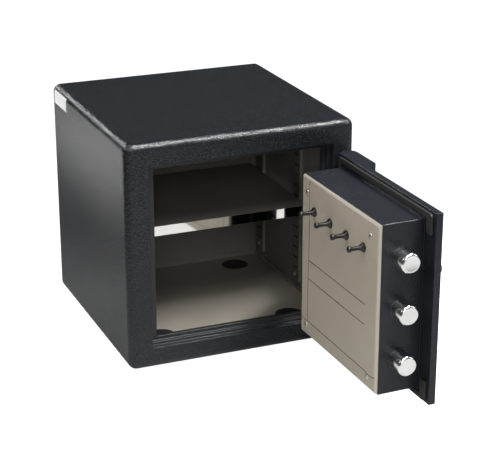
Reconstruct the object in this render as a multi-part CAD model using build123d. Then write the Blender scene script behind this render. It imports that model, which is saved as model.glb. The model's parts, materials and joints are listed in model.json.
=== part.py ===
from build123d import *
import os

# A small free-standing safe with its door open, as separate pieces.
# Millimetres, +Z up. The origin is at the centre of the cabinet's underside, the front faces -Y
# and the door is hinged on the right, +X. Door pieces are drawn with the door shut, then swung
# open about the hinge axis to the rest pose. On the door, u runs from the hinge edge to the lock
# edge and n runs inwards from the outer face.

# How far a cutter runs past the face it cuts
past = 1.0

# Cabinet
cabinet_width = 370.0
cabinet_depth = 380.0
cabinet_height = 360.0
cabinet_edge_radius = 13.0
shell_thickness = 3.0
front_y = -cabinet_depth / 2
left_x = -cabinet_width / 2
right_x = cabinet_width / 2
back_y = cabinet_depth / 2

# Door frame: three rebates, each smaller and deeper than the one before
stile_left = 36.0
stile_right = 35.3
sill_height = 33.3
head_height = 35.7
rebate_depths = [12.0, 19.0, 27.0]
rebate_insets_left = [0.0, 4.5, 14.0]
rebate_insets_right = [0.0, 4.7, 10.7]
rebate_insets_bottom = [0.0, 4.7, 10.7]
rebate_insets_top = [0.0, 5.3, 10.8]
frame_margin = 13.0

# Compartment
wall_to_compartment = 20.0
compartment_back = 342.0
liner_sheet = 1.5
tray_sheet = 1.5
tray_upstand = 8.0
tray_gap = 0.3
anchor_spacing_x = 221.0
anchor_spacing_y = 234.0
anchor_hole_radius = 7.0
cap_radius = 23.0
cap_clearance = 0.4
cap_boss_inset = 6.0
cap_step = 0.3
rear_slab_clearance = 2.0

# Shelf and its uprights
upright_width = 29.0
upright_proud = 5.0
upright_sheet = 1.5
upright_bottom = 38.0
upright_top = 320.0
upright_ys = [160.5, 314.0]
slot_length = 20.0
slot_height = 3.0
slot_pitch = 18.0
slot_first = 60.0
slot_count = 14
shelf_top = 195.0
shelf_front = 90.0
shelf_back = 329.0
shelf_gap = 16.0
shelf_sheet = 1.5
shelf_side_flange = 10.0
shelf_lip = 15.5
trim_sheet = 0.8
clip_width = 16.0
clip_reach = 20.0
clip_sheet = 2.0
clip_leg = 14.0
trim_overhang = 0.5
upright_screw_radius = 3.6
upright_screw_height = 1.8
web_skin = 2.0

# Door
door_gap_right = 0.7
door_length = 295.5
door_thickness = 10.8
door_bottom = 35.7
door_top = 321.6
open_angle = 90.7
step_sheet = 1.5
plate_chamfer = 0.6
step_margin_u = [2.5, 2.9]
step_margin_z = [2.9, 2.8]
seal_thickness = 4.0
seal_radius = 6.0
seal_outer_u = [5.0, 288.0]
seal_outer_z = [38.9, 318.3]
seal_inner_u = [13.5, 274.0]
seal_inner_z = [45.8, 309.4]
seal_leg = 30.0
seal_gap_u = [270.0, 290.0]
case_u = [17.0, 263.6]
case_z = [49.4, 304.2]
case_end_n = 74.5
case_sheet = 3.0
case_edge_radius = 2.0
fill_end_n = 24.0
panel_u = [18.5, 262.1]
panel_z = [50.9, 302.7]
panel_face_n = 79.5
panel_sheet = 1.6
panel_edge_radius = 4.4

# Hinges
pivot_u = -19.3
pivot_n = -17.5
knuckle_radius = 13.0
hinge_pin_radius = 5.0
running_clearance = 0.05
strap_thickness = 30.5
strap_end_u = 41.0
strap_height = 28.5
knuckle_gap = 1.0
hinge_tops = [312.0, 103.3]
strap_start_u = 2.0
neck_face_n = -1.0
pin_cover = 3.0
pin_top_inset = 4.0
washer_inset = 2.0
washer_clearance = 0.05

# Boltwork and lock
bolt_radius = 15.0
bolt_n = 44.0
bolt_zs = [100.0, 176.5, 253.0]
bolt_tail_u = 206.0
bolt_tip_u = 292.0
bolt_chamfer = 2.2
bush_wall = 2.4
bush_proud = 0.4
dog_bar_u = 6.5
dog_bar_n = [31.0, 43.0]
dog_bar_inset_z = 18.0
carrier_overhang_z = 18.0
carrier_u = [198.0, 206.0]
carrier_n = [45.0, 51.0]
lever_u = 196.0
lever_z = 209.0
lever_face_n = -42.0
lever_half_length = 34.0
lever_width = 16.0
lever_back_n = -26.0
lever_end_radius = 7.0
lever_edge_radius = 4.0
hub_radius = 13.0
hub_n = [-28.0, -4.3]
rose_radius = 21.0
rose_thickness = 4.0
rose_chamfer = 1.5
spindle_radius = 5.0
spindle_n = [-16.0, 36.0]
cam_radius = 13.0
cam_n = [30.0, 38.0]
key_u = 196.0
key_z = 139.0
key_hole_radius = 4.0
escutcheon_radius = 19.0
escutcheon_thickness = 5.0
escutcheon_chamfer = 1.2
cover_pivot_rise = 13.0
cover_pivot_radius = 1.8
cover_pivot_end_n = -9.0
cover_bore_radius = 1.85
cover_n = [-8.0, -5.4]
cover_disc_radius = 8.0
cover_eye_radius = 5.0
cover_half_width = 5.0
lock_u = [160.0, 222.0]
lock_n = [27.0, 42.0]
lock_z = [120.0, 156.0]
lock_wall = 2.0
lock_bolt_u = [164.0, 174.0]
lock_bolt_n = [31.0, 38.0]
lock_bolt_bottom = 135.0
lock_bolt_throw = 10.0
lock_slot_gap = 0.6
hard_plate_margin_u = [15.0, 8.0]
hard_plate_margin_z = [12.0, 16.0]

# Fittings
hook_us = [62.5, 114.4, 166.3, 218.2]
hook_z = 257.0
hook_length = 25.0
hook_flange_radius = 7.0
hook_flange_end = 3.5
hook_neck_radius = 4.0
hook_neck_end = 7.0
hook_stem_radius = 3.1
hook_knob_radius = 4.5
hook_knob_length = 5.0
hook_overlap = 1.0
panel_screw_us = [37.5, 238.5]
panel_screw_zs = [68.0, 280.5]
panel_screw_radius = 4.4
panel_screw_height = 1.8
panel_screw_chamfer = 0.9
label_y = [298.0, 363.0]
label_z = [327.0, 347.0]
label_thickness = 0.3

# Derived places
opening_left = left_x + stile_left
opening_right = right_x - stile_right
opening_top = cabinet_height - head_height
door_edge_x = opening_right - door_gap_right
hinge_x = door_edge_x - pivot_u
hinge_y = front_y + pivot_n
inner_left = left_x + wall_to_compartment
inner_right = right_x - wall_to_compartment
inner_top = cabinet_height - wall_to_compartment
inner_back = front_y + compartment_back
tray_top = wall_to_compartment
liner_floor = tray_top - tray_sheet
frame_back = front_y + rebate_depths[-1]
anchor_places = [
    (sx * anchor_spacing_x / 2, sy * anchor_spacing_y / 2) for sy in (-1, 1) for sx in (-1, 1)
]


def block(xs, ys, zs):
    """A box between two values on each axis."""
    size = Box(xs[1] - xs[0], ys[1] - ys[0], zs[1] - zs[0])
    return Pos((xs[0] + xs[1]) / 2, (ys[0] + ys[1]) / 2, (zs[0] + zs[1]) / 2) * size


def rod_x(y, z, radius, x0, x1):
    """A cylinder along X."""
    return Pos((x0 + x1) / 2, y, z) * Rot(0, 90, 0) * Cylinder(radius, abs(x1 - x0))


def rod_y(x, z, radius, y0, y1):
    """A cylinder along Y."""
    return Pos(x, (y0 + y1) / 2, z) * Rot(90, 0, 0) * Cylinder(radius, abs(y1 - y0))


def rod_z(x, y, radius, z0, z1):
    """A cylinder along Z."""
    return Pos(x, y, (z0 + z1) / 2) * Cylinder(radius, abs(z1 - z0))


def door_block(us, ns, zs):
    """A box on the shut door: u from the hinge edge, n in from the outer face."""
    return block((door_edge_x - us[1], door_edge_x - us[0]), (front_y + ns[0], front_y + ns[1]), zs)


def door_rod_n(u, z, radius, n0, n1):
    """A cylinder through the shut door."""
    return rod_y(door_edge_x - u, z, radius, front_y + n0, front_y + n1)


def door_rod_u(n, z, radius, u0, u1):
    """A cylinder along the shut door."""
    return rod_x(front_y + n, z, radius, door_edge_x - u0, door_edge_x - u1)


def opened(shape):
    """Swing a piece of the shut door to the rest pose."""
    return Pos(hinge_x, hinge_y, 0) * Rot(0, 0, open_angle) * Pos(-hinge_x, -hinge_y, 0) * shape


def round_edges(shape, axis, radius):
    """Round the edges of a plain box that run along one axis."""
    return fillet(shape.edges().filter_by(axis), radius)


def rebate(level, y0, y1):
    """The clear space of one rebate of the door frame."""
    xs = (opening_left + rebate_insets_left[level], opening_right - rebate_insets_right[level])
    zs = (sill_height + rebate_insets_bottom[level], opening_top - rebate_insets_top[level])
    return block(xs, (y0, y1), zs)


def drill_anchors(shape, radius, z0, z1):
    """Cut the four floor anchor holes."""
    for x, y in anchor_places:
        shape -= rod_z(x, y, radius, z0, z1)
    return shape


def make_outer_shell():
    """Welded outer casing, rounded on every edge, with the doorway in its front."""
    outer = block((left_x, right_x), (front_y, back_y), (0, cabinet_height))
    outer = fillet(outer.edges(), cabinet_edge_radius)
    t = shell_thickness
    inner = block((left_x + t, right_x - t), (front_y + t, back_y - t), (t, cabinet_height - t))
    inner = fillet(inner.edges(), cabinet_edge_radius - t)
    shell = outer - inner - rebate(0, front_y - past, front_y + t + past)
    return drill_anchors(shell, anchor_hole_radius, -past, t + past)


def make_door_frame():
    """Stepped rebate frame behind the front face."""
    xs = (left_x + frame_margin, right_x - frame_margin)
    start = front_y + shell_thickness
    ring = block(xs, (start, frame_back), (frame_margin, cabinet_height - frame_margin))
    step_start = start - past
    for level, depth in enumerate(rebate_depths):
        step_end = front_y + depth + (past if depth == rebate_depths[-1] else 0)
        ring -= rebate(level, step_start, step_end)
        step_start = step_end
    return ring


def make_liner():
    """Sheet lining of the compartment, open at the front."""
    s = liner_sheet
    xs = (inner_left, inner_right)
    outer = block((xs[0] - s, xs[1] + s), (frame_back, inner_back + s), (liner_floor - s, inner_top + s))
    liner = outer - block(xs, (frame_back - past, inner_back), (liner_floor, inner_top))
    return drill_anchors(liner, anchor_hole_radius, liner_floor - s - past, liner_floor + past)


def make_barrier_fill():
    """Filled slabs between the casing and the lining, one for each wall."""
    t = shell_thickness
    s = liner_sheet
    corner = cabinet_edge_radius
    ys = (frame_back, back_y - corner)
    side_z = (corner, cabinet_height - corner)
    level_x = (inner_left - s, inner_right + s)
    left = block((left_x + t, inner_left - s), ys, side_z)
    right = block((inner_right + s, right_x - t), ys, side_z)
    floor_slab = block(level_x, ys, (t, liner_floor - s))
    floor_slab = drill_anchors(floor_slab, anchor_hole_radius, 0, liner_floor)
    roof = block(level_x, ys, (inner_top + s, cabinet_height - t))
    rear = block(level_x, (inner_back + s, back_y - t), (liner_floor - s, inner_top + s))
    rear -= block(level_x, (back_y - corner, back_y), (0, t + corner - rear_slab_clearance))
    return Compound([left, right, floor_slab, roof, rear - floor_slab - roof])


def make_floor_tray():
    """Loose floor sheet with a low upstand on three sides."""
    g = tray_gap
    outer_xs = (inner_left + g, inner_right - g)
    ys = (frame_back + past, inner_back - g)
    tray = block(outer_xs, ys, (liner_floor, tray_top + tray_upstand))
    inner_xs = (outer_xs[0] + tray_sheet, outer_xs[1] - tray_sheet)
    tray -= block(inner_xs, (ys[0] - past, ys[1] - tray_sheet), (tray_top, tray_top + tray_upstand + past))
    return drill_anchors(tray, cap_radius, liner_floor - past, tray_top + past)


def make_anchor_caps():
    """Plugs over the floor anchor holes, a little below the tray's top."""
    caps = []
    for x, y in anchor_places:
        cap = rod_z(x, y, cap_radius - cap_clearance, liner_floor, tray_top - cap_step)
        boss = rod_z(x, y, cap_radius - cap_boss_inset, tray_top - cap_step, tray_top + cap_step)
        caps.append(cap + boss)
    return Compound(caps)


def make_upright(side, y_from_front):
    """Slotted channel for the shelf clips on one side wall (side -1 is the left)."""
    wall = inner_left if side < 0 else inner_right
    y = front_y + y_from_front
    reach = sorted((wall, wall - side * upright_proud))
    ys = (y - upright_width / 2, y + upright_width / 2)
    channel = block(reach, ys, (upright_bottom, upright_top))
    s = upright_sheet
    hollow = sorted((wall + side * past, wall - side * (upright_proud - s)))
    channel -= block(hollow, (ys[0] + s, ys[1] - s), (upright_bottom - past, upright_top + past))
    web = sorted((wall - side * web_skin, wall - side * (upright_proud + past)))
    for index in range(slot_count):
        z = slot_first + index * slot_pitch
        slot_ys = (y - slot_length / 2, y + slot_length / 2)
        channel -= block(web, slot_ys, (z, z + slot_height))
    return channel


def screw_z_on_upright(end):
    """Height of an upright's screw: end 0 is the lower one."""
    slots_end = slot_first + (slot_count - 1) * slot_pitch + slot_height
    return (upright_bottom + slot_first) / 2 if end == 0 else (upright_top + slots_end) / 2


def make_upright_screws():
    """Round-headed screws that hold the uprights to the walls."""
    screws = []
    for side in (-1, 1):
        face = (inner_left if side < 0 else inner_right) - side * upright_proud
        for y_from_front in upright_ys:
            for end in (0, 1):
                tip = face - side * upright_screw_height
                y = front_y + y_from_front
                screws.append(rod_x(y, screw_z_on_upright(end), upright_screw_radius, face, tip))
    return Compound(screws)


def clip_z():
    """Height of the face the shelf rests on."""
    return shelf_top - shelf_side_flange


def make_shelf_clips():
    """Clips hooked in the uprights, one under each corner of the shelf."""
    clips = []
    for side in (-1, 1):
        face = (inner_left if side < 0 else inner_right) - side * upright_proud
        for y_from_front in upright_ys:
            y = front_y + y_from_front
            ys = (y - clip_width / 2, y + clip_width / 2)
            tongue = sorted((face, face - side * clip_reach))
            leg = sorted((face, face - side * clip_sheet))
            clip = block(tongue, ys, (clip_z() - clip_sheet, clip_z()))
            clips.append(clip + block(leg, ys, (clip_z() - clip_leg, clip_z())))
    return Compound(clips)


def shelf_extent():
    """Left and right edges of the shelf."""
    return (inner_left + shelf_gap, inner_right - shelf_gap)


def make_shelf():
    """Folded sheet shelf with a deep front lip and shallow flanges."""
    xs = shelf_extent()
    ys = (front_y + shelf_front + trim_sheet, front_y + shelf_back)
    s = shelf_sheet
    shelf = block(xs, ys, (shelf_top - shelf_side_flange, shelf_top))
    inner_xs = (xs[0] + s, xs[1] - s)
    shelf -= block(inner_xs, (ys[0] - past, ys[1] - s), (shelf_top - shelf_lip - past, shelf_top - s))
    lip = block(xs, (ys[0], ys[0] + s), (shelf_top - shelf_lip, shelf_top))
    return shelf + lip


def make_shelf_trim():
    """Bright strip on the front of the shelf's lip."""
    y = front_y + shelf_front
    return block(shelf_extent(), (y, y + trim_sheet), (shelf_top - shelf_lip - trim_overhang, shelf_top))


def make_hinge_block(top):
    """Cabinet half of a hinge: a knuckle on a block fixed to the front face."""
    z1 = top - strap_height - knuckle_gap
    zs = (z1 - strap_height, z1)
    knuckle = rod_z(hinge_x, hinge_y, knuckle_radius, *zs)
    base = block((hinge_x - knuckle_radius, hinge_x + knuckle_radius), (hinge_y, front_y), zs)
    half = knuckle + base
    return half - rod_z(hinge_x, hinge_y, hinge_pin_radius, zs[0] + pin_cover, zs[1] + past)


def make_hinge_pin(top):
    """Hinge pin, fixed in the cabinet half, with the door half turning on it."""
    z1 = top - strap_height - knuckle_gap
    return rod_z(hinge_x, hinge_y, hinge_pin_radius, z1 - strap_height + pin_cover, top - pin_top_inset)


def make_hinge_washers():
    """Thrust washers between the halves of the hinges."""
    washers = []
    for top in hinge_tops:
        zs = (top - strap_height - knuckle_gap, top - strap_height - washer_clearance)
        ring = rod_z(hinge_x, hinge_y, knuckle_radius - washer_inset, *zs)
        washers.append(ring - rod_z(hinge_x, hinge_y, hinge_pin_radius, zs[0] - past, zs[1] + past))
    return Compound(washers)


def make_hinge_strap(top):
    """Door half of a hinge: a strap on the outer face that ends in a knuckle."""
    zs = (top - strap_height, top)
    on_door = door_block((strap_start_u, strap_end_u), (-strap_thickness, 0), zs)
    neck = door_block((pivot_u, strap_start_u), (-strap_thickness, neck_face_n), zs)
    knuckle = rod_z(hinge_x, hinge_y, knuckle_radius, *zs)
    strap = on_door + neck + knuckle
    bore = rod_z(hinge_x, hinge_y, hinge_pin_radius + running_clearance, zs[0] - past, zs[1] - pin_cover)
    return opened(strap - bore)


def bore_lock_holes(shape, n0, n1):
    """Cut the handle spindle's and the key's holes through a door layer."""
    shape -= door_rod_n(lever_u, lever_z, spindle_radius + running_clearance, n0 - past, n1 + past)
    return shape - door_rod_n(key_u, key_z, key_hole_radius, n0 - past, n1 + past)


def make_door_plate():
    """Thick front plate of the door."""
    plate = door_block((0, door_length), (0, door_thickness), (door_bottom, door_top))
    plate = chamfer(plate.edges(), plate_chamfer)
    return opened(bore_lock_holes(plate, 0, door_thickness))


def make_step_plate():
    """Thin plate behind the front plate, a little larger than the case."""
    ns = (door_thickness, door_thickness + step_sheet)
    us = (case_u[0] - step_margin_u[0], case_u[1] + step_margin_u[1])
    plate = door_block(us, ns, (case_z[0] - step_margin_z[0], case_z[1] + step_margin_z[1]))
    return opened(bore_lock_holes(plate, *ns))


def make_door_seal():
    """Raised strip round the margin of the door, open in the middle of the lock side."""
    ns = (door_thickness, door_thickness + seal_thickness)
    outer = round_edges(door_block(seal_outer_u, ns, seal_outer_z), Axis.Y, seal_radius)
    cut_ns = (ns[0] - past, ns[1] + past)
    strip = outer - door_block(seal_inner_u, cut_ns, seal_inner_z)
    gap_zs = (seal_outer_z[0] + seal_leg, seal_outer_z[1] - seal_leg)
    return opened(strip - door_block(seal_gap_u, cut_ns, gap_zs))


def make_door_case():
    """Deep sheet case on the inside of the door, round the boltwork."""
    ns = (door_thickness + step_sheet, case_end_n)
    case = round_edges(door_block(case_u, ns, case_z), Axis.Y, case_edge_radius)
    s = case_sheet
    inner_u = (case_u[0] + s, case_u[1] - s)
    case -= door_block(inner_u, (ns[0] - past, ns[1] + past), (case_z[0] + s, case_z[1] - s))
    for z in bolt_zs:
        case -= door_rod_u(bolt_n, z, bolt_radius + bush_wall, case_u[1] - s - past, case_u[1] + past)
    return opened(case)


def make_door_fill():
    """Filled slab inside the case, against the step plate."""
    ns = (door_thickness + step_sheet, fill_end_n)
    s = case_sheet
    us = (case_u[0] + s, case_u[1] - s)
    slab = door_block(us, ns, (case_z[0] + s, case_z[1] - s))
    return opened(bore_lock_holes(slab, *ns))


def make_hard_plate():
    """Drill-resistant plate between the lock and the filled slab."""
    ns = (fill_end_n, lock_n[0])
    us = (lock_u[0] - hard_plate_margin_u[0], lock_u[1] + hard_plate_margin_u[1])
    plate = door_block(us, ns, (lock_z[0] - hard_plate_margin_z[0], lever_z + hard_plate_margin_z[1]))
    return opened(bore_lock_holes(plate, *ns))


def make_bolt_bushes():
    """Bushes that guide the round bolts through the end of the case."""
    bushes = []
    for z in bolt_zs:
        us = (case_u[1] - case_sheet, case_u[1] + bush_proud)
        ring = door_rod_u(bolt_n, z, bolt_radius + bush_wall, *us)
        hole = door_rod_u(bolt_n, z, bolt_radius + running_clearance, us[0] - past, us[1] + past)
        bushes.append(opened(ring - hole))
    return Compound(bushes)


def make_dog_bar():
    """Fixed bar on the hinge side that goes behind the frame when the door is shut."""
    zs = (case_z[0] + dog_bar_inset_z, case_z[1] - dog_bar_inset_z)
    return opened(door_block((dog_bar_u, case_u[0]), dog_bar_n, zs))


def make_inner_panel():
    """Pressed cover over the boltwork, with soft edges."""
    ns = (case_end_n, panel_face_n)
    panel = door_block(panel_u, ns, panel_z)
    outer_face = panel.faces().sort_by(Axis.Y)[-1]
    panel = fillet(outer_face.edges(), panel_edge_radius)
    s = panel_sheet
    inner_u = (panel_u[0] + s, panel_u[1] - s)
    hollow = door_block(inner_u, (ns[0] - past, ns[1] - s), (panel_z[0] + s, panel_z[1] - s))
    hollow_face = hollow.faces().sort_by(Axis.Y)[-1]
    hollow = fillet(hollow_face.edges(), panel_edge_radius - s)
    return opened(panel - hollow)


def make_panel_screws():
    """Domed screws at the corners of the inner panel."""
    screws = []
    for u in panel_screw_us:
        for z in panel_screw_zs:
            head = door_rod_n(u, z, panel_screw_radius, panel_face_n, panel_face_n + panel_screw_height)
            screws.append(opened(chamfer(head.edges().sort_by(Axis.Y)[-1], panel_screw_chamfer)))
    return Compound(screws)


def make_key_hooks():
    """Pegs for keys: a flange on the panel, a stem and a knob."""
    hooks = []
    face = panel_face_n
    for u in hook_us:
        flange_end = face + hook_flange_end
        neck_end = face + hook_neck_end
        knob_start = face + hook_length - hook_knob_length
        peg = door_rod_n(u, hook_z, hook_flange_radius, face, flange_end)
        peg += door_rod_n(u, hook_z, hook_neck_radius, flange_end - hook_overlap, neck_end)
        peg += door_rod_n(u, hook_z, hook_stem_radius, neck_end - hook_overlap, knob_start + hook_overlap)
        peg += door_rod_n(u, hook_z, hook_knob_radius, knob_start, face + hook_length)
        hooks.append(opened(peg))
    return Compound(hooks)


def make_locking_bolt(z):
    """Round locking bolt, thrown out past the end of the case."""
    bolt = door_rod_u(bolt_n, z, bolt_radius, bolt_tail_u, bolt_tip_u)
    return opened(chamfer(bolt.edges().sort_by(Axis.X)[0], bolt_chamfer))


def make_carrier_bar():
    """Bar that ties the three bolts together at their tails."""
    zs = (bolt_zs[0] - carrier_overhang_z, bolt_zs[-1] + carrier_overhang_z)
    return opened(door_block(carrier_u, carrier_n, zs))


def make_handle_rose():
    """Round plate under the handle."""
    rose = door_rod_n(lever_u, lever_z, rose_radius, -rose_thickness, 0)
    rose = chamfer(rose.edges().sort_by(Axis.Y)[0], rose_chamfer)
    bore_ns = (-rose_thickness - past, past)
    return opened(rose - door_rod_n(lever_u, lever_z, spindle_radius + running_clearance, *bore_ns))


def make_handle():
    """Cross-bar handle on a short hub."""
    hub = door_rod_n(lever_u, lever_z, hub_radius, *hub_n)
    us = (lever_u - lever_half_length, lever_u + lever_half_length)
    zs = (lever_z - lever_width / 2, lever_z + lever_width / 2)
    bar = door_block(us, (lever_face_n, lever_back_n), zs)
    bar = fillet(bar.edges().filter_by(Axis.Y), lever_end_radius)
    bar = fillet(bar.faces().sort_by(Axis.Y)[0].edges(), lever_edge_radius)
    return opened(hub + bar - door_rod_n(lever_u, lever_z, spindle_radius, spindle_n[0], 0))


def make_handle_spindle():
    """Shaft from the handle to the cam."""
    return opened(door_rod_n(lever_u, lever_z, spindle_radius, *spindle_n))


def make_handle_cam():
    """Cam on the spindle that drives the bolts."""
    cam = door_rod_n(lever_u, lever_z, cam_radius, *cam_n)
    cam -= door_rod_n(lever_u, lever_z, spindle_radius, cam_n[0] - past, spindle_n[1])
    return opened(cam)


def make_lock_case():
    """Hollow case of the key lock, with a slot for its bolt."""
    w = lock_wall
    case = door_block(lock_u, lock_n, lock_z)
    inner_u = (lock_u[0] + w, lock_u[1] - w)
    case -= door_block(inner_u, (lock_n[0] + w, lock_n[1] - w), (lock_z[0] + w, lock_z[1] - w))
    case -= door_rod_n(key_u, key_z, key_hole_radius, lock_n[0] - past, lock_n[0] + w + past)
    slot_u = (lock_bolt_u[0] - lock_slot_gap, lock_bolt_u[1] + lock_slot_gap)
    slot_n = (lock_bolt_n[0] - lock_slot_gap, lock_bolt_n[1] + lock_slot_gap)
    slot = door_block(slot_u, slot_n, (lock_z[1] - w - past, lock_z[1] + past))
    return opened(case - slot)


def make_lock_bolt():
    """Bolt of the key lock that stands in the way of the carrier when it is locked."""
    return opened(door_block(lock_bolt_u, lock_bolt_n, (lock_bolt_bottom, lock_z[1] + lock_bolt_throw)))


def make_key_escutcheon():
    """Round plate round the keyhole."""
    face = -escutcheon_thickness
    plate = door_rod_n(key_u, key_z, escutcheon_radius, face, 0)
    plate = chamfer(plate.edges().sort_by(Axis.Y)[0], escutcheon_chamfer)
    plate -= door_rod_n(key_u, key_z, key_hole_radius, face - past, past)
    pivot = door_rod_n(key_u, key_z + cover_pivot_rise, cover_pivot_radius, cover_pivot_end_n, face)
    return opened(plate + pivot)


def make_key_cover():
    """Small cover that hangs over the keyhole and swings aside."""
    pivot_z = key_z + cover_pivot_rise
    us = (key_u - cover_half_width, key_u + cover_half_width)
    body = door_rod_n(key_u, key_z, cover_disc_radius, *cover_n)
    body += door_block(us, cover_n, (key_z, pivot_z))
    body += door_rod_n(key_u, pivot_z, cover_eye_radius, *cover_n)
    bore_ns = (cover_n[0] - past, cover_n[1] + past)
    return opened(body - door_rod_n(key_u, pivot_z, cover_bore_radius, *bore_ns))


def make_blank_label():
    """Plain label on the left side, near the back of the top."""
    ys = (front_y + label_y[0], front_y + label_y[1])
    return block((left_x - label_thickness, left_x), ys, label_z)


pieces = {
    "outer_shell": make_outer_shell(),
    "door_frame": make_door_frame(),
    "inner_liner": make_liner(),
    "barrier_fill": make_barrier_fill(),
    "floor_tray": make_floor_tray(),
    "anchor_caps": make_anchor_caps(),
    "upright_screws": make_upright_screws(),
    "shelf_clips": make_shelf_clips(),
    "shelf": make_shelf(),
    "shelf_trim": make_shelf_trim(),
    "hinge_washers": make_hinge_washers(),
    "blank_label": make_blank_label(),
    "door_plate": make_door_plate(),
    "step_plate": make_step_plate(),
    "door_seal": make_door_seal(),
    "door_case": make_door_case(),
    "door_fill": make_door_fill(),
    "hard_plate": make_hard_plate(),
    "bolt_bushes": make_bolt_bushes(),
    "dog_bar": make_dog_bar(),
    "inner_panel": make_inner_panel(),
    "panel_screws": make_panel_screws(),
    "key_hooks": make_key_hooks(),
    "carrier_bar": make_carrier_bar(),
    "handle_rose": make_handle_rose(),
    "handle": make_handle(),
    "handle_spindle": make_handle_spindle(),
    "handle_cam": make_handle_cam(),
    "lock_case": make_lock_case(),
    "lock_bolt": make_lock_bolt(),
    "key_escutcheon": make_key_escutcheon(),
    "key_cover": make_key_cover(),
}
for side_name, side in (("left", -1), ("right", 1)):
    for depth_name, depth in zip(("front", "rear"), upright_ys):
        pieces[f"upright_{side_name}_{depth_name}"] = make_upright(side, depth)
for level_name, top in zip(("upper", "lower"), hinge_tops):
    pieces[f"hinge_block_{level_name}"] = make_hinge_block(top)
    pieces[f"hinge_pin_{level_name}"] = make_hinge_pin(top)
    pieces[f"hinge_strap_{level_name}"] = make_hinge_strap(top)
for level_name, z in zip(("lower", "middle", "upper"), bolt_zs):
    pieces[f"locking_bolt_{level_name}"] = make_locking_bolt(z)

os.makedirs("parts", exist_ok=True)
for name, piece in pieces.items():
    export_step(piece, f"parts/{name}.step")
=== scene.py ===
"""Looks of a small free-standing safe with its door open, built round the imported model.

Everything is in metres, in the model's own frame: +Z up, the front faces -Y and the door is
hinged on the +X side. The origin is at the centre of the cabinet's underside.
"""

import json
import logging
import math
from collections.abc import Callable
from dataclasses import dataclass, field
from enum import Enum
from functools import cache

import bmesh
import bpy
from mathutils import Matrix, Vector


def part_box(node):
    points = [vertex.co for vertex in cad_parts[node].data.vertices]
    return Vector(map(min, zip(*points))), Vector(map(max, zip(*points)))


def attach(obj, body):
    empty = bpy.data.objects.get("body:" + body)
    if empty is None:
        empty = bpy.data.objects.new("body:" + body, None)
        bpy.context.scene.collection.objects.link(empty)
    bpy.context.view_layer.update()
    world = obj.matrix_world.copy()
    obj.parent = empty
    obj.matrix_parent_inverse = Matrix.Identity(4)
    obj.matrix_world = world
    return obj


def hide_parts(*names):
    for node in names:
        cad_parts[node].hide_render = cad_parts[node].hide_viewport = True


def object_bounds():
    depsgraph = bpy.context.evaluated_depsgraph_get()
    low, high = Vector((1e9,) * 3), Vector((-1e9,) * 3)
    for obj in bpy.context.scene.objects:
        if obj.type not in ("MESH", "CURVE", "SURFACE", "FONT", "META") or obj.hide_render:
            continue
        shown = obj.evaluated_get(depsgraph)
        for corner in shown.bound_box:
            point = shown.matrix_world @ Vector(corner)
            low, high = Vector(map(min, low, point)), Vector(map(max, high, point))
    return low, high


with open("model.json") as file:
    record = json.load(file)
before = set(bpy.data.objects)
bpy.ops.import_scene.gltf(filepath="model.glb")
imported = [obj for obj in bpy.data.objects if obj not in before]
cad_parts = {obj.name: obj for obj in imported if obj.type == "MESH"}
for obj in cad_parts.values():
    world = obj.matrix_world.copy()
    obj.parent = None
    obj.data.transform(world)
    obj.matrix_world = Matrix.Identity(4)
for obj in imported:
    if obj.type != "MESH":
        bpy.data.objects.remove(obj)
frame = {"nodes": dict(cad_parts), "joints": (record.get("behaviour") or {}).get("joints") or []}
MODEL_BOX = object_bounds()

Node, Socket, Tree = bpy.types.Node, bpy.types.NodeSocket, bpy.types.NodeTree
Mesh, Face, Object = bpy.types.Mesh, bpy.types.MeshPolygon, bpy.types.Object
Material = bpy.types.Material

log = logging.getLogger("safe")
MM = 0.001


class Body(Enum):
    """The bodies of the model that new pieces ride on."""

    CABINET = "cabinet"
    DOOR = "door"
    BOLTWORK = "boltwork"
    HANDLE = "handle"
    KEY_COVER = "key_cover"
    SHELF = "shelf"


class Slot(Enum):
    """The record's material slots."""

    BODY = "body_paint"
    DOOR = "door_paint"
    FRAME = "frame_paint"
    LINER = "liner_paint"
    UPRIGHT = "upright_paint"
    SHELF = "shelf_paint"
    PANEL = "panel_paint"
    POLISHED = "polished_steel"
    CHROME = "chrome_parts"
    ZINC = "zinc_steel"
    TOOL = "tool_steel"
    BRASS = "brass_parts"
    PLASTIC = "black_plastic"
    SEAL = "seal"
    BARRIER = "barrier"
    LABEL = "label"


class Extra(Enum):
    """Finishes that share a slot with another finish."""

    TRAY = "floor_tray"
    SEAM = "seam"
    MATT_BLACK = "matt_black"


# Turned parts are drawn as (radius, height) pairs in millimetres, from one pole to the other.
Profile = tuple

# Shader groups


def add_node(tree: Tree, kind: str, **values: object) -> Node:
    """Add a node to a tree and set its properties and inputs.

    Args:
        tree: The tree it goes in.
        kind: The node's type.
        **values: Properties of the node, or values of inputs, with _ for a space in a name.

    Returns:
        The new node.
    """
    made = tree.nodes.new(kind)
    for key, value in values.items():
        socket = made.inputs.get(key.replace("_", " "))
        if hasattr(made, key) and socket is None:
            setattr(made, key, value)
        else:
            socket.default_value = value
    return made


class NodeBench:
    """What makes and joins the nodes of one tree."""

    tree: Tree

    def node(self, kind: str, **values: object) -> Node:
        """Add a node, with the settings that add_node takes."""
        return add_node(self.tree, kind, **values)

    def link(self, start: Socket, end: Socket) -> None:
        """Join two sockets."""
        self.tree.links.new(start, end)

    def add(self, kind: str, feeds: dict, **values: object) -> Node:
        """Add a node and join its inputs.

        Args:
            kind: The node's type.
            feeds: The socket that goes into each input, by the input's name or number.
            **values: The settings that add_node takes.

        Returns:
            The new node.
        """
        made = self.node(kind, **values)
        for key, socket in feeds.items():
            self.link(socket, made.inputs[key])
        return made


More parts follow.
